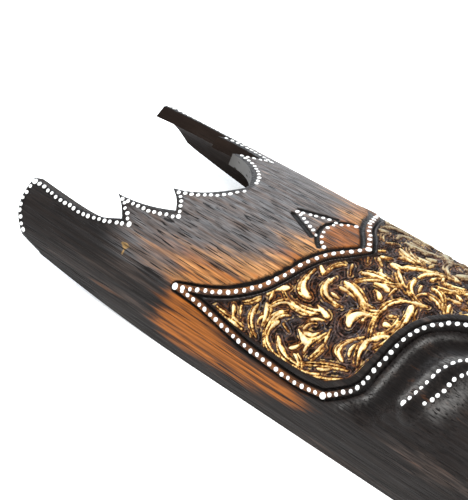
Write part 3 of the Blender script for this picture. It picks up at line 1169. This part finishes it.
class MASK_OT_dots(bpy.types.Operator):
    """Paints the rows of white dots along the crown, the panel, the ornament and the brow."""

    bl_idname = "mask.dots"
    bl_label = "Paint dots"

    def rows(self, sizes):
        """Each row of dots: its line, pitch, dot, and the dots at its ends, of which 0 is none."""
        upper, outer, lower = panel_lines()
        arc = bowed_line(ARC_TOP, ARC_END, ARC_BOW)
        dot, big, small = sizes.diameter, sizes.big, 0.82 * sizes.diameter
        yield upper, 1.12 * sizes.pitch, dot, big, big
        yield outer, 1.06 * sizes.pitch, dot, 0.0, big
        yield lower, sizes.pitch, dot, 0.0, dot
        yield arc, 0.95 * sizes.pitch, small, small, dot
        yield np.array([ARROW_APEX, ARROW_FOOT]), 0.92 * sizes.pitch, small, 1.1 * dot, small
        yield smooth_line(BROW_DOTS), sizes.pitch, dot, big, dot
        yield smooth_line(LID_DOTS), sizes.pitch, dot, dot, dot
        ends = (dot, 1.2 * dot, dot, 1.25 * dot, 1.2 * dot, dot)
        for line, end in zip(crown_pieces(CROWN_DOTS), ends):
            yield line, 0.86 * sizes.pitch, 0.92 * dot, 0.0, end

    def execute(self, context):
        scene = context.scene
        sizes = scene.mask_dots
        rng = np.random.default_rng(sizes.seed)
        log = Log(scene.mask_log)
        places = []
        for row, pitch, dot, first, last in self.rows(sizes):
            line = evenly(row, pitch)
            widths = [first, *[dot] * (len(line) - 2), last]
            for (s, y), width in zip(line, widths):
                if width == 0.0:
                    continue
                for side in (-1, 1) if s > 0.001 else (1,):
                    jitter = rng.normal(0.0, HAND_SHAKE, 2)
                    places.append((side * (s + jitter[0]), y + jitter[1], width * rng.uniform(*DOT_SPREAD)))
        places = np.array(places)
        s, y = places[:, 0], places[:, 1]
        plain = log.point(s, y)
        lift = Carving(scene.mask_carving, s, plain[:, 0], y).height
        facing = log.normal(s, y)
        centres = plain + facing * lift[:, None]
        mesh = self.domes(centres, facing, places[:, 2] / 2, sizes.rise, rng)
        finish_piece("paint_dots", mesh, [white_paint(sizes.colour)])
        return {"FINISHED"}

    def domes(self, centres, facing, radii, rise, rng):
        """A low uneven dome of paint at each centre."""
        points, faces = [], []
        turn = np.arange(DOME_SIDES) * 2 * math.pi / DOME_SIDES
        rings = len(DOME_LEVELS)
        for centre, up, radius in zip(centres, facing, radii):
            right = np.cross(up, (0.0, 1.0, 0.0))
            right /= np.linalg.norm(right)
            ahead = np.cross(up, right)
            start = len(points)
            wobble = 1.0 + DOME_WOBBLE * np.sin(2 * turn + rng.uniform(0, 6.28))
            for share, height in DOME_LEVELS:
                for angle, swell in zip(turn, wobble):
                    aside = right * math.cos(angle) + ahead * math.sin(angle)
                    points.append(centre + aside * radius * share * swell + up * rise * height)
            points += [centre + up * rise, centre - up * rise * 0.5]
            top, bottom = start + rings * DOME_SIDES, start + rings * DOME_SIDES + 1
            last = top - DOME_SIDES
            for low in range(start, last, DOME_SIDES):
                high = low + DOME_SIDES
                for index in range(DOME_SIDES):
                    following = (index + 1) % DOME_SIDES
                    faces.append((low + following, low + index, high + index, high + following))
            for index in range(DOME_SIDES):
                following = (index + 1) % DOME_SIDES
                faces.append((last + following, last + index, top))
                faces.append((start + index, start + following, bottom))
        mesh = bpy.data.meshes.new("paint_dots")
        mesh.from_pydata([tuple(point) for point in points], [], faces)
        mesh.shade_smooth()
        mesh.update()
        return mesh


class MASK_OT_stage(bpy.types.Operator):
    """Sets the camera, the pale floor and soft studio light."""

    bl_idname = "mask.stage"
    bl_label = "Set stage"

    def execute(self, context):
        settings = context.scene.mask_stage
        self.camera(context.scene, settings)
        self.floor()
        self.lights(context.scene)
        return {"FINISHED"}

    def camera(self, scene, settings):
        az, el, roll = settings.azimuth, settings.elevation, settings.roll
        back = Vector((math.sin(az) * math.cos(el), -math.cos(az) * math.cos(el), math.sin(el)))
        right = Vector((math.cos(az), math.sin(az), 0.0))
        up = back.cross(right)
        across = right * math.cos(roll) + up * math.sin(roll)
        upright = up * math.cos(roll) - right * math.sin(roll)
        camera = bpy.data.cameras.new("camera")
        camera.lens = settings.lens
        camera.clip_end = 20.0
        item = bpy.data.objects.new("camera", camera)
        scene.collection.objects.link(item)
        place = back * settings.distance + across * settings.aim_right + upright * settings.aim_up
        place.y += settings.aim_y
        item.matrix_world = Matrix.Translation(place) @ Matrix((across, upright, back)).transposed().to_4x4()
        scene.camera = item

    def floor(self):
        bpy.ops.mesh.primitive_plane_add(size=12.0, location=(0.0, 0.0, 0.0))
        item = bpy.context.object
        item.name = "floor"
        material, sockets, shader = new_material("Pale floor")
        shader.inputs["Base Color"].default_value = (0.93, 0.94, 0.95, 1.0)
        shader.inputs["Roughness"].default_value = 0.9
        shader.inputs["Emission Color"].default_value = (0.94, 0.985, 1.0, 1.0)
        seen = sockets.node("LightPath").outputs["Is Camera Ray"]
        sockets.feed(shader.inputs["Emission Strength"], sockets.times(seen, 0.55))
        item.data.materials.append(material)

    def lights(self, scene):
        world = bpy.data.worlds.new("studio")
        world.use_nodes = True
        sky = world.node_tree.nodes["Background"].inputs
        sky["Color"].default_value = (0.93, 0.96, 1.0, 1.0)
        sky["Strength"].default_value = 0.62
        scene.world = world
        for lamp in LAMPS:
            self.area(scene, *lamp)
        scene.view_settings.view_transform = "Standard"
        scene.view_settings.look = "None"

    def area(self, scene, name, place, size, power, colour, glossy):
        light = bpy.data.lights.new(name, "AREA")
        light.size = size
        light.energy = power
        light.color = colour
        item = bpy.data.objects.new(name, light)
        scene.collection.objects.link(item)
        item.location = place
        item.visible_glossy = glossy
        item.rotation_euler = (-Vector(place)).to_track_quat("-Z", "Y").to_euler()


class MASK_PT_panel(bpy.types.Panel):
    """Lists the mask's steps and values."""

    bl_label = "Wall mask"
    bl_space_type = "VIEW_3D"
    bl_region_type = "UI"
    bl_category = "Wall mask"

    def draw(self, context):
        layout = self.layout
        for step in STEPS:
            layout.operator(step.bl_idname)
        for name in GROUPS:
            group = getattr(context.scene, name)
            box = layout.box()
            for label in group.__annotations__:
                box.prop(group, label)


GROUPS = {
    "mask_log": LogSizes,
    "mask_carving": CarvingSizes,
    "mask_dots": DotSizes,
    "mask_colours": WoodColours,
    "mask_stage": StageSettings,
}
STEPS = (MASK_OT_stage, MASK_OT_carve, MASK_OT_dots)
CLASSES = (*GROUPS.values(), *STEPS, MASK_PT_panel)


def register():
    for item in CLASSES:
        bpy.utils.register_class(item)
    for name, group in GROUPS.items():
        setattr(bpy.types.Scene, name, PointerProperty(type=group))


def unregister():
    for name in GROUPS:
        delattr(bpy.types.Scene, name)
    for item in reversed(CLASSES):
        bpy.utils.unregister_class(item)


def main():
    register()
    grain_group()
    rub_group()
    bpy.ops.mask.stage()
    bpy.ops.mask.carve()
    bpy.ops.mask.dots()


if __name__ == "__main__":
    main()
